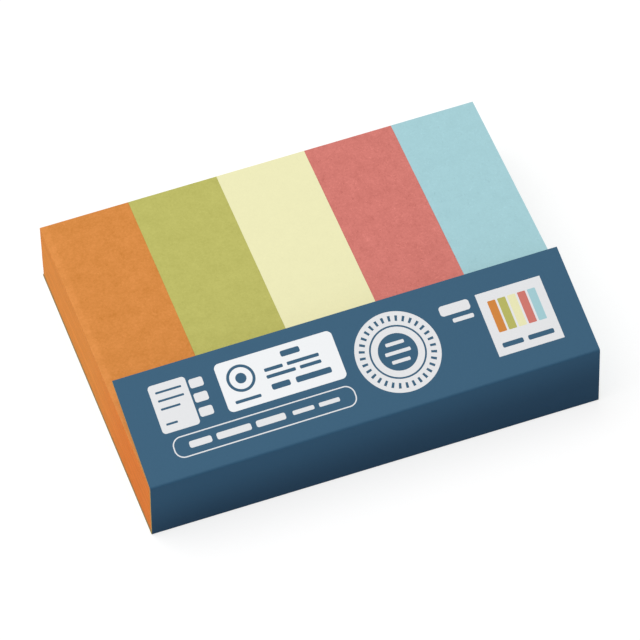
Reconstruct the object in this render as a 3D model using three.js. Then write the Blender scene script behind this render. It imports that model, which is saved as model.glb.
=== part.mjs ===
// Five pads of sticky page markers, side by side in one folded cover card.
//
// Millimetres, +Z up. X runs across the row of pads and Y along the markers,
// from the creased front of the card to the markers' free ends. The card lies
// on Z = 0, and the origin is the middle of its underside.

import * as THREE from "three";

// Marker sheets: a pad is a stack of them, glued along the end that the card covers
const sheetWidth = 12.7;
const sheetLength = 44.5;
const sheetThickness = 0.108;
const sheetsPerPad = 100;
const padGap = 0.05; // from each pad to the next one

// Cover card: one creased strip that runs under the pads, up their glued ends and back over their tops
const cardThickness = 0.3;
const creaseRadius = 0.1; // on the inside of each crease
const creaseSegments = 10;
const topClearance = 0.1; // from the pads' tops to the flap, if the flap were pressed shut
const flapLength = 15.95; // from the card's front face to the flap's cut edge, along the flap
const flapOpening = THREE.MathUtils.degToRad(12.3); // how far the unglued flap springs up

// The pads in their order from the left, with the colour of each one's paper
const pads = [
  { name: "pad_orange", colour: 0xd78a48 },
  { name: "pad_green", colour: 0xbebd6a },
  { name: "pad_yellow", colour: 0xf0ecbd },
  { name: "pad_red", colour: 0xd57b75 },
  { name: "pad_blue", colour: 0xa7d0d6 },
];
const paperRoughness = 0.9;
const cardColour = 0x40647e;
const cardRoughness = 0.5;

// Sizes that follow from those above
const padHeight = sheetsPerPad * sheetThickness;
const padTop = cardThickness + padHeight;
const padPitch = sheetWidth + padGap;
const rowWidth = pads.length * padPitch - padGap; // the card is cut flush with the outer pads
const padSetback = cardThickness + creaseRadius; // the pads' square ends start where the crease's curve ends
const packLength = padSetback + sheetLength;
const frontY = -packLength / 2;
const backY = packLength / 2;

// One pad: its sheets' outline, raised by the height of the stack
function padMesh({ name, colour }, index) {
  const sheet = new THREE.Shape()
    .moveTo(0, 0)
    .lineTo(sheetWidth, 0)
    .lineTo(sheetWidth, sheetLength)
    .lineTo(0, sheetLength)
    .closePath();
  const stack = new THREE.ExtrudeGeometry(sheet, { depth: padHeight, bevelEnabled: false });
  const paper = new THREE.MeshStandardMaterial({ color: colour, roughness: paperRoughness, metalness: 0 });
  const mesh = new THREE.Mesh(stack, paper);
  mesh.name = name;
  mesh.position.set(index * padPitch - rowWidth / 2, frontY + padSetback, cardThickness);
  return mesh;
}

// The card's edge as an outline with Y to the right and Z up. Its outer face is drawn first, from
// the back of the bottom panel round both creases to the flap's cut edge, and then its inner face back.
function cardOutline() {
  const outerRadius = creaseRadius + cardThickness;
  const creaseY = frontY + outerRadius; // both creases turn about this line
  const lowerCreaseZ = outerRadius;
  const upperCreaseZ = padTop + topClearance - creaseRadius;
  const flapTurn = Math.PI / 2 + flapOpening; // the flap's normal, as an angle from +Y
  const along = new THREE.Vector2(Math.cos(flapOpening), Math.sin(flapOpening));
  const up = new THREE.Vector2(Math.cos(flapTurn), Math.sin(flapTurn));
  const hinge = new THREE.Vector2(creaseY, upperCreaseZ);
  const run = flapLength - outerRadius; // the flat of the flap, past its crease
  const outerTip = hinge.clone().addScaledVector(up, outerRadius).addScaledVector(along, run);
  const innerTip = hinge.clone().addScaledVector(up, creaseRadius).addScaledVector(along, run);
  return new THREE.Shape()
    .moveTo(backY, 0)
    .lineTo(creaseY, 0)
    .absarc(creaseY, lowerCreaseZ, outerRadius, 1.5 * Math.PI, Math.PI, true)
    .lineTo(frontY, upperCreaseZ)
    .absarc(creaseY, upperCreaseZ, outerRadius, Math.PI, flapTurn, true)
    .lineTo(outerTip.x, outerTip.y)
    .lineTo(innerTip.x, innerTip.y)
    .absarc(creaseY, upperCreaseZ, creaseRadius, flapTurn, Math.PI, false)
    .lineTo(frontY + cardThickness, lowerCreaseZ)
    .absarc(creaseY, lowerCreaseZ, creaseRadius, Math.PI, 1.5 * Math.PI, false)
    .lineTo(backY, cardThickness)
    .closePath();
}

// The folded card: its outline, drawn along X over the whole row of pads
function coverCardMesh() {
  const strip = new THREE.ExtrudeGeometry(cardOutline(), {
    depth: rowWidth,
    bevelEnabled: false,
    curveSegments: creaseSegments,
  });
  const board = new THREE.MeshStandardMaterial({ color: cardColour, roughness: cardRoughness, metalness: 0 });
  const mesh = new THREE.Mesh(strip, board);
  mesh.name = "cover_card";
  const outlineToYZ = new THREE.Matrix4().makeBasis(
    new THREE.Vector3(0, 1, 0),
    new THREE.Vector3(0, 0, 1),
    new THREE.Vector3(1, 0, 0),
  );
  mesh.quaternion.setFromRotationMatrix(outlineToYZ);
  mesh.position.x = -rowWidth / 2;
  return mesh;
}

const markerPack = new THREE.Group();
markerPack.add(...pads.map(padMesh));
markerPack.add(coverCardMesh());

export default markerPack;
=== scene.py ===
"""A set of sticky index tabs: five pads of paper markers in a folded, printed cover card."""

import math

import bpy
import numpy as np
from bpy.props import FloatProperty, FloatVectorProperty, IntProperty, PointerProperty
from mathutils import Matrix, Vector


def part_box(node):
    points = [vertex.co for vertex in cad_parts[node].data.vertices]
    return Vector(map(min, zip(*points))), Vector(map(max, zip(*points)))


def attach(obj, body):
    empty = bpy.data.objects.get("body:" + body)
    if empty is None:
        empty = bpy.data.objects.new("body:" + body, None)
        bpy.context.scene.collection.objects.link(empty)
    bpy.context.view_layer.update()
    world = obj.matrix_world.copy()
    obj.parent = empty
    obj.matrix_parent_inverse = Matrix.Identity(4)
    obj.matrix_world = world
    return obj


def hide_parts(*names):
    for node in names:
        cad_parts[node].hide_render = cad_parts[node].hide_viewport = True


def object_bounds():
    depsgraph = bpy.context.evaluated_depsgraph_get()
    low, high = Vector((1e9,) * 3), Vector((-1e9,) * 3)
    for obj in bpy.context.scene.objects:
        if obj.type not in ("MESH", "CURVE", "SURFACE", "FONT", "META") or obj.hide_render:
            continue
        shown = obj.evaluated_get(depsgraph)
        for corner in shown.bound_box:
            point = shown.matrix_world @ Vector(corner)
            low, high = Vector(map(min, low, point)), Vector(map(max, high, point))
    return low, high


bl_info = {
    "name": "Sticky Index Tabs",
    "version": (1, 0, 0),
    "blender": (4, 5, 0),
    "location": "3D View > Sidebar > Index Tabs",
    "description": "Dresses a set of paper page markers and its cover card, and sets up the studio",
    "category": "Object",
}

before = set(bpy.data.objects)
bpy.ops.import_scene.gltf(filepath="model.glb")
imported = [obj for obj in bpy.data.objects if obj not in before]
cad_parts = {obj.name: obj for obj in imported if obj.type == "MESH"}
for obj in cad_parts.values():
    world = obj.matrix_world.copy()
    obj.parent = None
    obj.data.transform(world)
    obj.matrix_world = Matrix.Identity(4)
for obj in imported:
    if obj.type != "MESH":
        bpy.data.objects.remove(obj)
cad_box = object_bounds()

MM = 0.001
PAD_NAMES = ("orange", "green", "yellow", "red", "blue")

# Moves to the right in mm, of the pads' edges from the left end and of the card's two sides
EDGE_SHIFTS = (-0.01, -0.02, 0.02, 0.14, 0.24, -0.21)
CARD_SHIFTS = (-0.01, -0.20)

# How strongly each pad's paper is mottled, and how strongly its fibres show
PAPER_LOOKS = {
    "orange": (0.23, 0.06),
    "green": (0.155, 0.04),
    "yellow": (0.04, 0.02),
    "red": (0.22, 0.12),
    "blue": (0.09, 0.06),
}
GRAIN_SHARE = 1.6  # how much stronger the paper's fine grain is than its clouds
TONE_LIFT = 0.1  # added to a colour while it is toned, so that its dark channels change too
FIBRE_BEND = 1.2  # how crooked the fibres are
FIBRE_CORE_SHARE = 0.3  # of the width of a fibre, where it shows in full
FIBRE_BREAK_SCALE = 1.7  # how much finer the noise is that breaks the fibres up
FIBRE_BREAKS = (0.52, 0.6)  # its values where a fibre ends, and where it shows in full

# Places where the paper changes, in mm from the left side or the front of the set
RIM = (1.45, 0.55)  # the first pad's top gets paler here, towards the left: a painted highlight along its rim
RIM_NEAR_FLAP = (18.45, 13.45)  # and paler still here, towards the flap: painted light where the flap shades the pad's top
RIM_PAINTED_HIGHLIGHT = 0.07
RIM_UNDER_FLAP_PAINTED_LIGHT = 0.1
GLUED = (25.95, 7.45)  # the cut edges get deeper here, towards the glued end

EDGE_TINT = (1.01, 1.0, 0.89)  # shares of the paper's colour that its cut edges show, redder partly as the stack's own tone and partly as painted light bounced between the sheets
# How much lighter the cut edges are drawn than the faces: partly painted bounce light
EDGE_PAINTED_LIGHT = 1.06
STREAK_STRETCH = (0.08, 0.08, 2.2)  # makes the streaks long, and as thin as a few sheets
STREAK_SWING = 0.7
SHEET_SWING = 0.2  # how much one sheet's cut edge differs from the next one's
MIDDLE_TONE = 0.5  # the tone of the top sheet
TOP_FACING = (0.75, 0.95)  # upward parts of the normal, of a cut edge and of a sheet's face

# Places where the card changes, in mm
BELOW_CREASE = 0.4  # down from the flap's crease, where the front panel's painted shade starts
INSIDE_MARGIN = (0.04, 0.01)  # out from the card's inside, where its cut edge ends
LOW_EDGE_HEIGHTS = (1.2, 0.4)  # from there down the cut edge darkens towards the floor: painted contact shade

# The points of a sheet's cut edge, in thicknesses above its underside
GROOVE_RISE = 0.0
LOW_RISE = 0.22
HIGH_RISE = 0.86

ROUGH_SHARE = 0.3  # of a groove's depth, by which the cut edges are uneven
GLUED_SLIDE = 0.3  # how much of their slide the sheets keep at the glued end
SHARP_ANGLE = 30  # degrees past which a mesh's edges stay sharp
TINY = 1e-9  # keeps a division away from zero

MIX_SIDES = (6, 7)  # the colour inputs of a Mix node
MIX_RESULT = 2  # its colour output

SENSOR_WIDTH = 36  # mm
NEAR_CLIP = 0.01  # metres
FLOOR_DROP = 0.02  # mm below the card
SOFTBOX_SIDE = 0.8  # metres
SOFTBOX_PLACE = (-0.32, 0.16, 0.70)  # metres


def linear(red, green, blue):
    """A colour read in a picture, from 0 to 255, as the scene-linear values that a shader takes."""
    shares = (red / 255, green / 255, blue / 255)
    return tuple(c / 12.92 if c <= 0.04045 else ((c + 0.055) / 1.055) ** 2.4 for c in shares)


def opaque(colour):
    """A colour with full alpha, as a shader's colour sockets take it."""
    return (*colour[:3], 1.0)


class Signal:
    """One output socket of a node graph. An expression on signals and numbers adds its Math nodes."""

    def __init__(self, graph, socket):
        self.graph = graph
        self.socket = socket

    def math(self, operation, *others):
        inputs = dict(enumerate((self, *others)))
        return self.graph.add("ShaderNodeMath", {"operation": operation}, inputs)

    def __add__(self, other):
        return self.math("ADD", other)

    __radd__ = __add__

    def __sub__(self, other):
        return self.math("SUBTRACT", other)

    def __rsub__(self, other):
        return (self * -1.0) + other

    def __mul__(self, other):
        return self.math("MULTIPLY", other)

    __rmul__ = __mul__

    def __abs__(self):
        return self.math("ABSOLUTE")

    def least(self, other):
        return self.math("MINIMUM", other)

    def most(self, other):
        return self.math("MAXIMUM", other)

    def root(self):
        return self.math("SQRT")

    def fraction(self):
        return self.math("FRACT")

    def angle_to(self, across):
        """The angle of the point (across, self), in radians."""
        return self.math("ARCTAN2", across)

    def step(self, low, high):
        """0 where the signal is at low, 1 where it is at high, and smooth in between."""
        limits = {"From Min": low, "From Max": high, "Value": self}
        return self.graph.add("ShaderNodeMapRange", {"interpolation_type": "SMOOTHSTEP"}, limits)


class Graph:
    """The node tree of a material or a world."""

    def __init__(self, tree):
        self.tree = tree
        tree.nodes.clear()

    def add(self, kind, settings=None, inputs=None, output=0):
        """Adds a node, sets it up, joins its sockets, and gives one of its outputs as a signal."""
        node = self.tree.nodes.new(kind)
        for name, value in (settings or {}).items():
            setattr(node, name, value)
        for key, value in (inputs or {}).items():
            if isinstance(value, Signal):
                self.tree.links.new(value.socket, node.inputs[key])
            else:
                node.inputs[key].default_value = value
        return Signal(self, node.outputs[output]) if node.outputs else node

    def place(self):
        """The point on the surface, in millimetres of the object's own frame."""
        metres = self.add("ShaderNodeTexCoord", output="Object")
        return self.add("ShaderNodeVectorMath", {"operation": "SCALE"}, {0: metres, "Scale": 1 / MM})

    def stretched(self, vector, scale):
        """A vector with each of its parts multiplied by its own number."""
        return self.add("ShaderNodeVectorMath", {"operation": "MULTIPLY"}, {0: vector, 1: scale})

    def part(self, vector, axis):
        """One of the three parts of a vector."""
        return self.add("ShaderNodeSeparateXYZ", inputs={0: vector}, output=axis)

    def noise(self, vector, scale, detail=3.0, roughness=0.55, distortion=0.0):
        """Cloudy noise from 0 to 1, with scale features to a millimetre."""
        inputs = {"Vector": vector, "Scale": scale, "Detail": detail, "Roughness": roughness,
                  "Distortion": distortion}
        return self.add("ShaderNodeTexNoise", inputs=inputs)

    def scaled(self, colour, factor):
        """A colour made lighter or darker by a signal."""
        return self.add("ShaderNodeVectorMath", {"operation": "SCALE"}, {0: colour, "Scale": factor})

    def toned(self, colour, light):
        """A colour made lighter or darker by a signal near 1, all its channels by alike steps."""
        lifted = self.scaled(tuple(channel + TONE_LIFT for channel in colour), light)
        return self.add("ShaderNodeVectorMath", {"operation": "SUBTRACT"}, {0: lifted, 1: (TONE_LIFT,) * 3})

    def mixed(self, factor, first, second):
        """The first colour where factor is 0, and the second where it is 1."""
        sides = (opaque(side) if isinstance(side, tuple) else side for side in (first, second))
        inputs = {0: factor, **dict(zip(MIX_SIDES, sides))}
        return self.add("ShaderNodeMix", {"data_type": "RGBA"}, inputs, output=MIX_RESULT)

    def relief(self, height, strength, distance):
        """Normals bent by a height field, whose full height is a distance in millimetres."""
        inputs = {"Height": height, "Strength": strength, "Distance": distance * MM}
        return self.add("ShaderNodeBump", inputs=inputs)

    def surface(self, inputs):
        """Ends the graph in a Principled shader with these sockets."""
        shader = self.add("ShaderNodeBsdfPrincipled", inputs=inputs)
        self.add("ShaderNodeOutputMaterial", inputs={"Surface": shader})


def new_material(name):
    """An empty material and its graph."""
    material = bpy.data.materials.new(name)
    material.use_nodes = True
    return material, Graph(material.node_tree)


def swing(signal, reach):
    """A signal from 0 to 1, as one that swings round 0 with this reach from end to end."""
    return (signal - 0.5) * reach


def fibres(graph, place, scale, width):
    """Thin crooked lines like the stray fibres in recycled paper, broken up into short lengths."""
    ridge = 1.0 - abs(graph.noise(place, scale, detail=2.0, distortion=FIBRE_BEND) * 2.0 - 1.0)
    line = ridge.step(1.0 - width, 1.0 - width * FIBRE_CORE_SHARE)
    length = graph.noise(place, scale * FIBRE_BREAK_SCALE, detail=1.0).step(*FIBRE_BREAKS)
    return line * length


def passed(graph, place, axis, stretch):
    """0 before a stretch, measured in mm from the set's left side or front, and 1 past it."""
    start, end = (cad_box[0][axis] / MM + distance for distance in stretch)
    return graph.part(place, axis).step(start, end)


def paper_face(graph, place, colour, mottle, flecks, grain, fibre_light):
    """The colour of a sheet's face: mottled, fibrous, and paler at the set's left margin, a painted highlight
    that painted light under the flap makes stronger.
    """
    cloud = graph.noise(place, scale=0.45, detail=4.0, roughness=0.6)
    # Painted highlight on the first pad's left rim, made stronger by painted light under the flap's edge
    near_flap = passed(graph, place, 1, RIM_NEAR_FLAP)
    painted_rim_light = passed(graph, place, 0, RIM) * (near_flap * RIM_UNDER_FLAP_PAINTED_LIGHT + RIM_PAINTED_HIGHLIGHT)
    light = swing(cloud, mottle) + swing(grain, mottle * GRAIN_SHARE) + fibre_light * flecks + painted_rim_light + 1.0
    return graph.toned(colour, light)


def paper_edge(graph, place, colour, glued_colour):
    """The colour of the sheets' cut edges: streaked, deeper towards the glued end, and redder and lighter
    than the faces, partly as painted bounce light.
    """
    streak = graph.noise(graph.stretched(place, STREAK_STRETCH), scale=1.0, detail=5.0, roughness=0.9)
    tone = graph.add("ShaderNodeAttribute", {"attribute_name": "tone"}, output="Fac")
    light = swing(streak, STREAK_SWING) + swing(tone, SHEET_SWING) + EDGE_PAINTED_LIGHT
    # Partly painted bounce light: the cut edges are drawn redder and lighter than the faces
    cut = tuple(channel * share for channel, share in zip(colour, EDGE_TINT))
    return graph.scaled(graph.mixed(passed(graph, place, 1, GLUED), cut, glued_colour), light)


def paper(name, colour, glued_colour, mottle, flecks):
    """Uncoated recycled paper: the faces of the sheets, and their cut edges."""
    material, graph = new_material(name)
    place = graph.place()
    grain = graph.noise(place, scale=3.2, detail=4.0, roughness=0.7)
    pale = fibres(graph, place, scale=1.1, width=0.05)
    dark = fibres(graph, graph.stretched(place, (1.3, 0.8, 1.0)), scale=0.9, width=0.04)
    face = paper_face(graph, place, colour, mottle, flecks, grain, pale - dark)
    edge = paper_edge(graph, place, colour, glued_colour)
    normal = graph.add("ShaderNodeNewGeometry", output="Normal")
    facing_up = abs(graph.part(normal, 2)).step(*TOP_FACING)
    graph.surface({
        "Base Color": graph.mixed(facing_up, edge, face),
        "Roughness": swing(grain, 0.12) + 0.9,
        "Specular IOR Level": 0.1,
        "Normal": graph.relief(grain + pale * 0.5, strength=0.35, distance=0.03),
    })
    return material


def box_field(across, up, box, radius):
    """The distance in millimetres to a rounded rectangle, given as (left, right, low, high)."""
    left, right, low, high = box
    side = abs(across - (left + right) / 2) - ((right - left) / 2 - radius)
    end = abs(up - (low + high) / 2) - ((high - low) / 2 - radius)
    outside = (side.most(0.0) * side.most(0.0) + end.most(0.0) * end.most(0.0)).root()
    return outside + side.most(end).least(0.0) - radius


def disc_field(across, up, centre, radius):
    """The distance in millimetres to a disc."""
    side = across - centre[0]
    end = up - centre[1]
    return (side * side + end * end).root() - radius


def outlined(field, width):
    """The distance to a line of this width, drawn along a field's edge."""
    return abs(field) - width / 2


def joined(fields):
    """The distance to the nearest of several fields."""
    nearest = fields[0]
    for field in fields[1:]:
        nearest = nearest.least(field)
    return nearest


def bars(across, up, rows):
    """The distance to rows of plain bars, each row given as (middle, height, (left, right), ...)."""
    fields = []
    for middle, height, *words in rows:
        for left, right in words:
            box = (left, right, middle - height / 2, middle + height / 2)
            fields.append(box_field(across, up, box, height * BAR_CORNER_SHARE))
    return joined(fields)


def ticks(across, up, centre, radius, length, width, count):
    """The distance to short radial marks, evenly spread on a ring."""
    side = across - centre[0]
    end = up - centre[1]
    turn = end.angle_to(side) * (count / math.tau)
    sideways = abs(turn.fraction() - 0.5) * (math.tau * radius / count) - width / 2
    inward = outlined(disc_field(across, up, centre, radius), length)
    return sideways.most(inward)


INK_EDGE = 0.03  # mm over which a printed edge fades
BAR_CORNER_SHARE = 0.3  # of a bar's height, by which its corners are rounded

# Places and sizes on the flap, in mm: across from its middle, and up from where it leaves its crease
PAGE = (-27.8, -22.6, 6.3, 13.3)
PAGE_CORNER = 0.5
PAGE_TABS = ((-22.3, -20.4, 11.3, 12.6), (-22.3, -20.4, 9.2, 10.5), (-22.3, -20.4, 7.1, 8.4))
PAGE_TAB_CORNER = 0.3
PAGE_LINES = ((12.1, 0.3, (-27.0, -23.4)), (10.9, 0.3, (-27.0, -23.4)), (9.7, 0.3, (-27.0, -24.3)),
              (7.5, 0.3, (-27.0, -25.4)))
LABEL = (-18.5, -1.9, 6.45, 13.55)
LABEL_CORNER = 0.75
LABEL_LINES = ((12.3, 0.85, (-9.4, -6.7)), (10.75, 0.5, (-12.2, -9.6), (-9.0, -4.5)),
               (9.75, 0.5, (-12.2, -8.1), (-7.5, -4.5)), (8.2, 0.85, (-12.0, -9.4), (-8.6, -3.6)),
               (7.6, 0.45, (-17.3, -13.7)))
RING = (-15.5, 10.7)
RING_RADIUS = 1.75
RING_LINE = 0.4
RING_DOT_RADIUS = 0.75
STRIP = (-27.1, -1.8, 2.45, 5.35)
STRIP_CORNER = 1.25
STRIP_LINE = 0.17
STRIP_LINES = ((3.9, 0.95, (-25.0, -21.9), (-21.2, -16.4), (-15.7, -11.6)),
               (3.9, 0.6, (-10.6, -7.6), (-6.9, -4.0)))
SEAL = (5.7, 7.8)
SEAL_RADIUS = 5.85
SEAL_TICKS = {"radius": 4.85, "length": 0.8, "width": 0.35, "count": 32}
SEAL_RING_RADIUS = 3.75
SEAL_RING_LINE = 0.25
SEAL_DISC_RADIUS = 2.7
SEAL_LINES = ((9.1, 0.5, (4.4, 7.0)), (7.8, 0.5, (3.9, 7.5)), (6.5, 0.5, (4.4, 7.0)))
PANEL = (18.4, 27.8, 2.9, 12.3)
PANEL_CORNER = 0.05
PANEL_LINES = ((4.3, 0.7, (19.4, 22.4), (23.1, 26.8)),)
CHIPS = (19.5, 26.7, 6.2, 10.9)
CHIP_CORNER = 0.12
CHIP_MARGIN_SHARE = 0.1  # of the pitch of the chips, left free on each side of one
HEADING_LINES = ((11.4, 1.5, (13.0, 17.3)), (9.7, 0.6, (14.3, 17.3)))


def inked(field):
    """1 inside a field and 0 outside it."""
    return field.step(INK_EDGE / 2, -INK_EDGE / 2)


def pale_print(across, up):
    """The pale shapes on the flap: page sign, strip, seal, panel and heading."""
    tabs = [box_field(across, up, tab, PAGE_TAB_CORNER) for tab in PAGE_TABS]
    shapes = [
        box_field(across, up, PAGE, PAGE_CORNER),
        *tabs,
        outlined(box_field(across, up, STRIP, STRIP_CORNER), STRIP_LINE),
        bars(across, up, STRIP_LINES),
        disc_field(across, up, SEAL, SEAL_RADIUS),
        box_field(across, up, PANEL, PANEL_CORNER),
        bars(across, up, HEADING_LINES),
    ]
    return joined(shapes)


def dark_print(across, up):
    """The dark shapes drawn on the pale ones."""
    shapes = [
        bars(across, up, PAGE_LINES),
        outlined(disc_field(across, up, RING, RING_RADIUS), RING_LINE),
        disc_field(across, up, RING, RING_DOT_RADIUS),
        bars(across, up, LABEL_LINES),
        ticks(across, up, SEAL, **SEAL_TICKS),
        outlined(disc_field(across, up, SEAL, SEAL_RING_RADIUS), SEAL_RING_LINE),
        disc_field(across, up, SEAL, SEAL_DISC_RADIUS),
        bars(across, up, PANEL_LINES),
    ]
    return joined(shapes)


def chip_box(index, count):
    """The place of one of the panel's colour chips."""
    left, right, low, high = CHIPS
    pitch = (right - left) / count
    start = left + pitch * index
    margin = pitch * CHIP_MARGIN_SHARE
    return (start + margin, start + pitch - margin, low, high)


def printed_card(settings, paper_colours):
    """The card's outside: satin ink with painted shade, deeper on the front panel than on the flap and
    deepest at its foot, and plain printed fields.
    """
    material, graph = new_material("printed_card")
    place = graph.place()
    sheet = graph.add("ShaderNodeAttribute", {"attribute_name": "sheet"}, output="Vector")
    across = graph.part(sheet, 0)
    up = graph.part(sheet, 1)
    # Painted shade: the front panel's ink is deeper than the flap's, and deepest at its foot
    below = up.step(0.0, -BELOW_CREASE)
    painted_shade_fade = (up - across * settings.painted_shade_slant).step(0.0, -settings.painted_shade_end)
    grain = graph.noise(place, scale=3.4, detail=4.0, roughness=0.65)
    front = graph.mixed(painted_shade_fade, tuple(settings.front_ink_painted_shade), tuple(settings.foot_ink_painted_shade))
    ink = graph.scaled(graph.mixed(below, tuple(settings.ink), front), swing(grain, 0.09) + 1.0)
    pale = graph.scaled(tuple(settings.pale_ink), swing(grain, 0.03) + 1.0)
    colour = graph.mixed(inked(pale_print(across, up)), ink, pale)
    colour = graph.mixed(inked(box_field(across, up, LABEL, LABEL_CORNER)), colour, tuple(settings.label))
    colour = graph.mixed(inked(dark_print(across, up)), colour, ink)
    colour = graph.mixed(inked(bars(across, up, SEAL_LINES)), colour, pale)
    for index, chip in enumerate(paper_colours):
        box = chip_box(index, len(paper_colours))
        colour = graph.mixed(inked(box_field(across, up, box, CHIP_CORNER)), colour, chip)
    graph.surface({
        "Base Color": colour,
        "Roughness": swing(grain, 0.1) + settings.ink_roughness,
        "Specular IOR Level": 0.03,
        "Normal": graph.relief(grain, strength=0.12, distance=0.015),
    })
    return material


def card_thickness():
    """The card's thickness in metres, which is how high the pads lie over its underside."""
    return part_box("pad_orange")[0][2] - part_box("cover_card")[0][2]


def raw_board(settings):
    """The card's unprinted inside and its cut edges: tan recycled board, with painted contact shade on the
    cut edges near the floor.
    """
    material, graph = new_material("raw_board")
    place = graph.place()
    depth = graph.part(graph.add("ShaderNodeAttribute", {"attribute_name": "sheet"}, output="Vector"), 2)
    inside = depth.step(*(card_thickness() / MM - margin for margin in INSIDE_MARGIN))
    # Painted contact shade: the cut edge turns a darker olive towards the floor
    low = graph.part(place, 2).step(*LOW_EDGE_HEIGHTS)
    cut = graph.mixed(low, tuple(settings.cut_edge), tuple(settings.low_edge_painted_shade))
    grain = graph.noise(place, scale=2.2, detail=5.0, roughness=0.7)
    pale = fibres(graph, place, scale=1.2, width=0.06)
    dark = fibres(graph, graph.stretched(place, (0.8, 1.2, 1.0)), scale=1.0, width=0.05)
    light = swing(grain, 0.25) + (pale - dark) * 0.18 + 1.0
    graph.surface({
        "Base Color": graph.scaled(graph.mixed(inside, cut, tuple(settings.board)), light),
        "Roughness": swing(grain, 0.1) + 0.92,
        "Specular IOR Level": 0.2,
        "Normal": graph.relief(grain + pale * 0.4, strength=0.4, distance=0.03),
    })
    return material


def mesh_object(name, points, faces, materials):
    """A new object in the scene with this mesh, smooth but for its sharp edges."""
    mesh = bpy.data.meshes.new(name)
    mesh.from_pydata(points, [], faces)
    for material in materials:
        mesh.materials.append(material)
    mesh.shade_smooth()
    mesh.set_sharp_from_angle(angle=math.radians(SHARP_ANGLE))
    obj = bpy.data.objects.new(name, mesh)
    bpy.context.scene.collection.objects.link(obj)
    return obj


def unit_outline(short_steps, long_steps):
    """Points round the unit square, with Y along the marker."""
    short = np.linspace(0, 1, short_steps, endpoint=False)
    long = np.linspace(0, 1, long_steps, endpoint=False)
    sides = [
        np.stack([short, np.zeros(short_steps)], axis=1),
        np.stack([np.ones(long_steps), long], axis=1),
        np.stack([1 - short, np.ones(short_steps)], axis=1),
        np.stack([np.zeros(long_steps), 1 - long], axis=1),
    ]
    return np.concatenate(sides)


def drift(random, count, reach):
    """A slow random walk from sheet to sheet that stays within a reach."""
    walk = np.cumsum(random.normal(0, 1, count))
    walk -= np.linspace(walk[0], walk[-1], count)
    return walk / max(np.abs(walk).max(), TINY) * reach


def leaned(points, settings, lean_in):
    """Points moved as the stack leans: its top stays, and its foot moves by lean_in on the left and by the
    settings' two leans on the right."""
    low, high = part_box("cover_card")
    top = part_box("pad_blue")[1][2]
    points = np.array(points)
    low_share = np.clip(1 - points[:, 2] / top, 0, 1)
    share = (points[:, 0] - low[0]) / (high[0] - low[0]) * low_share
    points[:, 0] += (share * settings.lean_right + (low_share - share) * lean_in) * MM
    points[:, 1] -= share * settings.lean_forward * MM
    return points


def pad_box(index, settings):
    """A pad's corners, with its sides a little off their places, and spread to meet the next pad's."""
    low, high = (np.array(corner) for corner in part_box("pad_" + PAD_NAMES[index]))
    spread_left = settings.spread if index > 0 else 0
    spread_right = settings.spread if index + 1 < len(PAD_NAMES) else 0
    low[0] += (EDGE_SHIFTS[index] - spread_left) * MM
    high[0] += (EDGE_SHIFTS[index + 1] + spread_right) * MM
    return low, high


def sheet_stack(low, high, settings, seed):
    """Points, faces and sheet tones of a pad, as the skin of its stacked sheets."""
    random = np.random.default_rng(seed)
    outline = unit_outline(settings.steps_across, settings.steps_along)
    count = len(outline)
    on_side = np.isclose(np.abs(outline - 0.5), 0.5)
    away = np.sign(outline - 0.5) * on_side
    thickness = (high[2] - low[2]) / settings.sheets
    groove = settings.groove * MM
    reach = settings.unevenness * MM
    slide = np.stack([drift(random, settings.sheets, reach), drift(random, settings.sheets, reach)], axis=1)
    loose = outline[:, 1:2] ** 2 * (1 - GLUED_SLIDE) + GLUED_SLIDE
    span = (high - low)[:2]
    rings = []
    tones = []
    for sheet in range(settings.sheets):
        base = low[2] + sheet * thickness
        rough = np.abs(random.normal(0, groove * ROUGH_SHARE, (count, 1)))
        tone = random.uniform(0, 1)
        place = low[:2] + outline * span + slide[sheet] * loose - away * (reach + rough)
        notch = place - away * groove
        for spot, rise in ((notch, GROOVE_RISE), (place, LOW_RISE), (place, HIGH_RISE)):
            rings.append(np.column_stack([spot, np.full(count, base + rise * thickness)]))
            tones.append(tone)
    rings.append(np.column_stack([rings[-1][:, :2], np.full(count, high[2])]))
    tones.append(MIDDLE_TONE)
    points = leaned(np.concatenate(rings), settings, settings.lean_in + settings.tuck)
    faces = []
    for ring in range(len(rings) - 1):
        start = ring * count
        for spot in range(count):
            after = (spot + 1) % count
            faces.append((start + spot, start + after, start + count + after, start + count + spot))
    top = (len(rings) - 1) * count
    faces.append(tuple(range(count))[::-1])
    faces.append(tuple(range(top, top + count)))
    return points, faces, np.repeat(tones, count)


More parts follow.
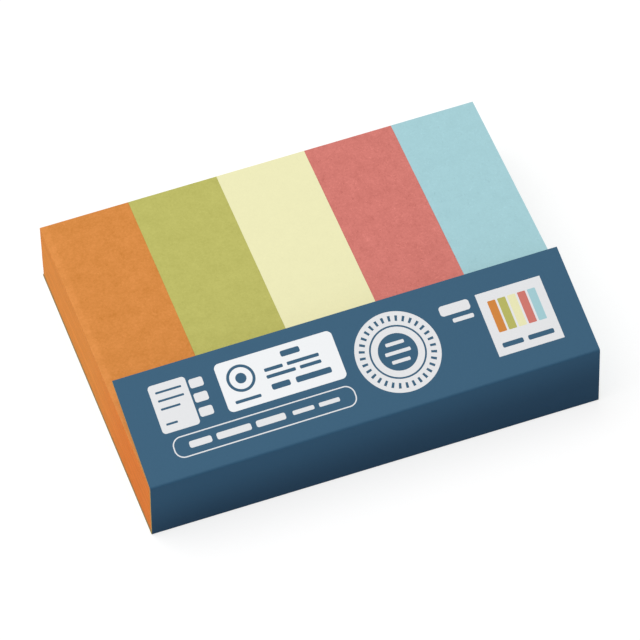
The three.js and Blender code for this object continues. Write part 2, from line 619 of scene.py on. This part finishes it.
def card_path(settings):
    """The card's outer face as a path in Y and Z, in metres: each point, its outward direction, and its
    distance along the card from where the flap leaves its crease."""
    low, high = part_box("cover_card")
    pad_low, pad_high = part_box("pad_orange")
    thickness = card_thickness()
    radius = pad_low[1] - low[1]
    crease_y = low[1] + radius
    foot = Vector((crease_y, low[2] + radius))
    hinge = Vector((crease_y, pad_high[2] + settings.clearance * MM - (radius - thickness)))
    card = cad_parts["cover_card"]
    tip = max((v.co for v in card.data.vertices), key=lambda point: point.z)
    reach = Vector((tip.y, tip.z)) - hinge
    run = math.sqrt(reach.length_squared - radius ** 2)
    opening = math.atan2(reach.y, reach.x) - math.atan2(radius, run)
    flap_turn = math.pi / 2 + opening
    flap_up = Vector((math.cos(flap_turn), math.sin(flap_turn)))
    flap_along = Vector((math.cos(opening), math.sin(opening)))
    path = []

    def straight(start, end, outward, steps):
        for step in range(steps + 1):
            path.append((start.lerp(end, step / steps), outward))

    def arc(centre, first, last):
        for step in range(1, settings.crease_steps):
            angle = first + (last - first) * step / settings.crease_steps
            outward = Vector((math.cos(angle), math.sin(angle)))
            path.append((centre + outward * radius, outward))

    down = Vector((0, -1))
    forward = Vector((-1, 0))
    straight(Vector((high[1], low[2])), foot + down * radius, down, settings.panel_steps)
    arc(foot, -math.pi / 2, -math.pi)
    straight(foot + forward * radius, hinge + forward * radius, forward, settings.panel_steps // 3)
    arc(hinge, math.pi, flap_turn)
    leave = hinge + flap_up * radius
    straight(leave, leave + flap_along * run, flap_up, settings.panel_steps // 2)
    points = [spot for spot, _ in path]
    lengths = [0.0]
    for before, after in zip(points, points[1:]):
        lengths.append(lengths[-1] + (after - before).length)
    flap_start = lengths[-1] - run
    return [(spot, outward, length - flap_start) for (spot, outward), length in zip(path, lengths)]


def folded_card(settings):
    """Points, faces, face materials and sheet places of the folded card."""
    low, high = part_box("cover_card")
    path = card_path(settings)
    left_side = low[0] + CARD_SHIFTS[0] * MM
    right_side = high[0] + CARD_SHIFTS[1] * MM
    columns = np.linspace(left_side, right_side, settings.panel_steps + 1)
    flap_run = path[-1][2]
    rows = len(path)
    points = []
    places = []
    for depth in (0.0, card_thickness()):
        for spot, outward, length in path:
            line = spot - outward * depth
            taper = max(length, 0) / flap_run * settings.flap_taper * MM
            for x in columns:
                inset = taper * (right_side - x) / (right_side - left_side)
                points.append((x + inset, line.x, line.y))
                places.append((x / MM, length / MM, depth / MM))
    width = len(columns)
    inside = rows * width
    faces = []
    kinds = []

    def face(corners, kind):
        faces.append(corners)
        kinds.append(kind)

    for row in range(rows - 1):
        for column in range(width - 1):
            a = row * width + column
            b, c, d = a + 1, a + width + 1, a + width
            face((a, d, c, b), 0)
            face((inside + a, inside + b, inside + c, inside + d), 1)
    for row in range(rows - 1):
        left = row * width
        right = left + width - 1
        face((left, inside + left, inside + left + width, left + width), 1)
        face((right, right + width, inside + right + width, inside + right), 1)
    for column in range(width - 1):
        last = (rows - 1) * width + column
        face((column, column + 1, inside + column + 1, inside + column), 1)
        face((last, inside + last, inside + last + 1, last + 1), 1)
    return points, faces, kinds, places


class PadSettings(bpy.types.PropertyGroup):
    sheets: IntProperty(name="Sheets", description="Sheets in one pad", default=100, min=10)
    unevenness: FloatProperty(name="Unevenness", description="How far sheets slide in the stack, in mm",
                              default=0.015, min=0)
    groove: FloatProperty(name="Groove", description="Depth of the dip between two cut edges, in mm",
                          default=0.02, min=0)
    spread: FloatProperty(name="Spread", description="How far the sheets fill the gap to the next pad, in mm",
                          default=0.04, min=0)
    lean_in: FloatProperty(name="Lean in", description="Inward move of the stack's foot on the left, in mm",
                           default=0.08)
    tuck: FloatProperty(name="Tuck", description="How much further in the sheets' foot lies, in mm",
                        default=0.08)
    lean_right: FloatProperty(name="Lean right", description="Outward move of the foot on the right, in mm",
                              default=0.44)
    lean_forward: FloatProperty(name="Lean forward", description="Its move to the front on the right, in mm",
                                default=0.7)
    steps_across: IntProperty(name="Steps across", description="Mesh steps over a marker's width", default=6)
    steps_along: IntProperty(name="Steps along", description="Mesh steps over a marker's length", default=24)
    orange: FloatVectorProperty(name="Orange", description="Colour of the first pad", subtype="COLOR",
                                default=linear(213, 137, 68))
    orange_edge: FloatVectorProperty(name="Orange edge", description="First pad's edges at the glued end",
                                     subtype="COLOR", default=linear(214, 120, 51))
    green: FloatVectorProperty(name="Green", description="Colour of the second pad", subtype="COLOR",
                               default=linear(187, 185, 102))
    green_edge: FloatVectorProperty(name="Green edge", description="Second pad's edges at the glued end",
                                    subtype="COLOR", default=linear(183, 180, 92))
    yellow: FloatVectorProperty(name="Yellow", description="Colour of the third pad", subtype="COLOR",
                                default=linear(237, 234, 187))
    yellow_edge: FloatVectorProperty(name="Yellow edge", description="Third pad's edges at the glued end",
                                     subtype="COLOR", default=linear(236, 229, 174))
    red: FloatVectorProperty(name="Red", description="Colour of the fourth pad", subtype="COLOR",
                             default=linear(210, 123, 114))
    red_edge: FloatVectorProperty(name="Red edge", description="Fourth pad's edges at the glued end",
                                  subtype="COLOR", default=linear(205, 108, 101))
    blue: FloatVectorProperty(name="Blue", description="Colour of the fifth pad", subtype="COLOR",
                              default=linear(166, 207, 214))
    blue_edge: FloatVectorProperty(name="Blue edge", description="Fifth pad's edges at the glued end",
                                   subtype="COLOR", default=linear(152, 200, 208))


class CardSettings(bpy.types.PropertyGroup):
    clearance: FloatProperty(name="Clearance", description="From the pads to the shut flap, in mm",
                             default=0.1)
    flap_taper: FloatProperty(name="Flap taper", description="Inset of the flap's tip on the left, in mm",
                              default=0.26)
    crease_steps: IntProperty(name="Crease steps", description="Mesh steps round each crease", default=10)
    panel_steps: IntProperty(name="Panel steps", description="Mesh steps over the bottom panel", default=60)
    ink: FloatVectorProperty(name="Ink", description="Colour of the printed outside", subtype="COLOR",
                             default=linear(64, 100, 126))
    # Painted shade: the front panel is inked deeper than the flap, and deepest at its foot
    front_ink_painted_shade: FloatVectorProperty(name="Front ink", description="Colour of the front panel under its crease",
                                   subtype="COLOR", default=linear(56, 95, 125))
    foot_ink_painted_shade: FloatVectorProperty(name="Foot ink", description="Colour of the front panel at its foot",
                                  subtype="COLOR", default=linear(44, 76, 103))
    pale_ink: FloatVectorProperty(name="Pale print", description="Colour of the pale fields", subtype="COLOR",
                                  default=linear(232, 233, 235))
    label: FloatVectorProperty(name="Label", description="Colour of the white label", subtype="COLOR",
                               default=linear(244, 246, 248))
    board: FloatVectorProperty(name="Board", description="Colour of the unprinted board", subtype="COLOR",
                               default=linear(156, 133, 90))
    cut_edge: FloatVectorProperty(name="Cut edge", description="Colour of the board's cut edges",
                                  subtype="COLOR", default=linear(180, 152, 84))
    # Painted contact shade: the cut edges' darker colour near the floor
    low_edge_painted_shade: FloatVectorProperty(name="Low edge", description="Colour of the bottom panel's cut edges",
                                  subtype="COLOR", default=linear(138, 126, 34))
    ink_roughness: FloatProperty(name="Ink roughness", description="Roughness of the print", default=0.55)
    # Painted shade: where the front panel's painted fade ends, and how it slants
    painted_shade_end: FloatProperty(name="Fade end", description="Where the ink is deepest, in mm below the crease",
                            default=9.7)
    painted_shade_slant: FloatProperty(name="Fade slant", description="Rise of the fade for each mm to the right",
                              default=0.06)


class StudioSettings(bpy.types.PropertyGroup):
    azimuth: FloatProperty(name="Azimuth", description="Round from the front", subtype="ANGLE",
                           default=math.radians(-22.62))
    elevation: FloatProperty(name="Elevation", description="Up from level", subtype="ANGLE",
                             default=math.radians(55.14))
    roll: FloatProperty(name="Roll", description="Round the line of sight", subtype="ANGLE",
                        default=math.radians(2.05))
    distance: FloatProperty(name="Distance", description="From the aim", unit="LENGTH", default=0.5327)
    lens: FloatProperty(name="Lens", description="Focal length in mm on a 36 mm sensor", default=221.30)
    aim: FloatVectorProperty(name="Aim", description="The point in the middle of the picture", subtype="XYZ",
                             default=(-0.000059, -0.001251, 0.0055))
    sky: FloatProperty(name="Sky", description="Strength of the light from all round", default=0.42)
    key: FloatProperty(name="Key", description="Power of the softbox, in W", default=5.4)
    floor_size: FloatProperty(name="Floor size", description="Side of the floor", unit="LENGTH", default=3.0)
    floor_tone: FloatProperty(name="Floor tone", description="How pale the floor is to light that bounces",
                              default=0.8)
    shown_tone: FloatProperty(name="Shown tone", description="How pale the floor is where it is seen",
                              default=0.3)
    floor_lift: FloatProperty(name="Floor lift", description="Light added to the floor where it is seen",
                              default=0.75)


def build_pad(index, settings, material):
    """One pad, which takes the place of its CAD solid."""
    name = PAD_NAMES[index]
    points, faces, tones = sheet_stack(*pad_box(index, settings), settings, index)
    pad = mesh_object(name + "_sheets", points, faces, [material])
    tone = pad.data.attributes.new("tone", "FLOAT", "POINT")
    tone.data.foreach_set("value", tones)
    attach(pad, "root")
    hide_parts("pad_" + name)


class MARKERS_OT_paper_pads(bpy.types.Operator):
    """Builds the five pads as stacks of thin sheets"""
    bl_idname = "markers.paper_pads"
    bl_label = "Build Paper Pads"

    def execute(self, context):
        settings = context.scene.marker_pads
        for index, name in enumerate(PAD_NAMES):
            colours = (tuple(getattr(settings, name)), tuple(getattr(settings, name + "_edge")))
            material = paper(name + "_paper", *colours, *PAPER_LOOKS[name])
            build_pad(index, settings, material)
        return {"FINISHED"}


class MARKERS_OT_cover_card(bpy.types.Operator):
    """Builds the folded cover card with its print"""
    bl_idname = "markers.cover_card"
    bl_label = "Build Cover Card"

    def execute(self, context):
        settings = context.scene.marker_card
        pads = context.scene.marker_pads
        colours = [tuple(getattr(pads, name)) for name in PAD_NAMES]
        points, faces, kinds, places = folded_card(settings)
        materials = [printed_card(settings, colours), raw_board(settings)]
        card = mesh_object("folded_card", leaned(points, pads, pads.lean_in), faces, materials)
        card.data.polygons.foreach_set("material_index", kinds)
        sheet = card.data.attributes.new("sheet", "FLOAT_VECTOR", "POINT")
        sheet.data.foreach_set("vector", np.array(places).ravel())
        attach(card, "root")
        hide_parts("cover_card")
        return {"FINISHED"}


def studio_camera(settings):
    """The camera at the photograph's angle."""
    flat = math.cos(settings.elevation)
    side = math.sin(settings.azimuth)
    front = math.cos(settings.azimuth)
    back = Vector((side * flat, -front * flat, math.sin(settings.elevation)))
    right = Vector((front, side, 0))
    turn = Matrix.Rotation(settings.roll, 3, back)
    axes = Matrix((turn @ right, turn @ back.cross(right), back)).transposed()
    camera = bpy.data.cameras.new("camera")
    camera.sensor_width = SENSOR_WIDTH
    camera.lens = settings.lens
    camera.clip_start = NEAR_CLIP
    obj = bpy.data.objects.new("camera", camera)
    obj.matrix_world = Matrix.Translation(Vector(settings.aim) + back * settings.distance) @ axes.to_4x4()
    bpy.context.scene.collection.objects.link(obj)
    bpy.context.scene.camera = obj


def shown_rays(graph):
    """1 for the rays that show a background: from the camera, and by reflection or through something."""
    kinds = ("Is Camera Ray", "Is Glossy Ray", "Is Transmission Ray")
    rays = [graph.add("ShaderNodeLightPath", output=kind) for kind in kinds]
    return rays[0].most(rays[1]).most(rays[2])


def studio_floor(settings):
    """A plain pale floor that turns white where nothing shades it."""
    half = settings.floor_size / 2
    level = -FLOOR_DROP * MM
    corners = [(-half, -half, level), (half, -half, level), (half, half, level), (-half, half, level)]
    material, graph = new_material("floor")
    shown = shown_rays(graph)
    tone = shown * (settings.shown_tone - settings.floor_tone) + settings.floor_tone
    matt = graph.add("ShaderNodeBsdfDiffuse", inputs={"Color": tone})
    lift = graph.add("ShaderNodeEmission", inputs={"Strength": shown * settings.floor_lift})
    both = graph.add("ShaderNodeAddShader", inputs={0: matt, 1: lift})
    graph.add("ShaderNodeOutputMaterial", inputs={"Surface": both})
    floor = mesh_object("floor", corners, [(0, 1, 2, 3)], [material])


def studio_light(settings):
    """Even light from all round, and one broad softbox up on the left."""
    world = bpy.data.worlds.new("studio")
    world.use_nodes = True
    bpy.context.scene.world = world
    graph = Graph(world.node_tree)
    shown = shown_rays(graph)
    strength = shown + (1.0 - shown) * settings.sky
    background = graph.add("ShaderNodeBackground", inputs={"Color": (1, 1, 1, 1), "Strength": strength})
    graph.add("ShaderNodeOutputWorld", inputs={"Surface": background})
    lamp = bpy.data.lights.new("softbox", "AREA")
    lamp.energy = settings.key
    lamp.size = SOFTBOX_SIDE
    obj = bpy.data.objects.new("softbox", lamp)
    place = Vector(SOFTBOX_PLACE)
    obj.matrix_world = Matrix.Translation(place) @ place.to_track_quat("Z", "Y").to_matrix().to_4x4()
    bpy.context.scene.collection.objects.link(obj)


class MARKERS_OT_studio(bpy.types.Operator):
    """Sets up the floor, the light and the camera"""
    bl_idname = "markers.studio"
    bl_label = "Set Up Studio"

    def execute(self, context):
        settings = context.scene.marker_studio
        studio_camera(settings)
        studio_floor(settings)
        studio_light(settings)
        context.scene.view_settings.view_transform = "Standard"
        return {"FINISHED"}


class MARKERS_PT_sidebar(bpy.types.Panel):
    """Lists the steps that dress the set"""
    bl_label = "Index Tabs"
    bl_space_type = "VIEW_3D"
    bl_region_type = "UI"
    bl_category = "Index Tabs"

    def draw(self, context):
        for operator in (MARKERS_OT_paper_pads, MARKERS_OT_cover_card, MARKERS_OT_studio):
            self.layout.operator(operator.bl_idname)


CLASSES = (
    PadSettings,
    CardSettings,
    StudioSettings,
    MARKERS_OT_paper_pads,
    MARKERS_OT_cover_card,
    MARKERS_OT_studio,
    MARKERS_PT_sidebar,
)


def register():
    for cls in CLASSES:
        bpy.utils.register_class(cls)
    bpy.types.Scene.marker_pads = PointerProperty(type=PadSettings)
    bpy.types.Scene.marker_card = PointerProperty(type=CardSettings)
    bpy.types.Scene.marker_studio = PointerProperty(type=StudioSettings)


def unregister():
    del bpy.types.Scene.marker_studio
    del bpy.types.Scene.marker_card
    del bpy.types.Scene.marker_pads
    for cls in reversed(CLASSES):
        bpy.utils.unregister_class(cls)


def main():
    """Registers the classes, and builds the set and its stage."""
    register()
    bpy.ops.markers.paper_pads()
    bpy.ops.markers.cover_card()
    bpy.ops.markers.studio()


if __name__ == "__main__":
    main()
